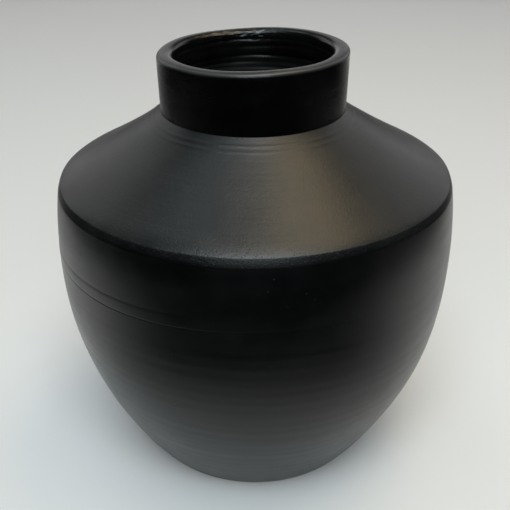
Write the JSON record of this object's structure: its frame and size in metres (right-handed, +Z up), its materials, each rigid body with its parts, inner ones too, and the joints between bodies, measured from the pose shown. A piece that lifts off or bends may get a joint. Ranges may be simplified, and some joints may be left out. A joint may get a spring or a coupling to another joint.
{
  "type": "black clay pot",
  "caption": "Round-bellied black clay pot with a narrow flat foot, a crisp shoulder edge, a domed shoulder and a short straight open collar with a rounded lip.",
  "frame": {"origin": "centre of the foot's flat resting face", "axes": "+Z up along the turning axis, from the foot to the mouth; -Y is the side that faces the viewer"},
  "size_m": [0.281, 0.281, 0.3],
  "materials": {
    "burnished_clay": "smoke-fired black clay, burnished to a soft satin with fine lines round the axis",
    "satin_clay": "smoke-fired black clay, rubbed smooth with a fine orange-peel grain",
    "scraped_clay": "smoke-fired black clay, scraped and left matt under the foot"
  },
  "bodies": {
    "root": {"floor_disc": "scraped_clay", "lower_wall": "burnished_clay", "joining_coil": "burnished_clay", "upper_wall": "burnished_clay", "shoulder": "satin_clay", "neck_collar": "burnished_clay", "lip_coil": "satin_clay"}
  },
  "joints": []
}
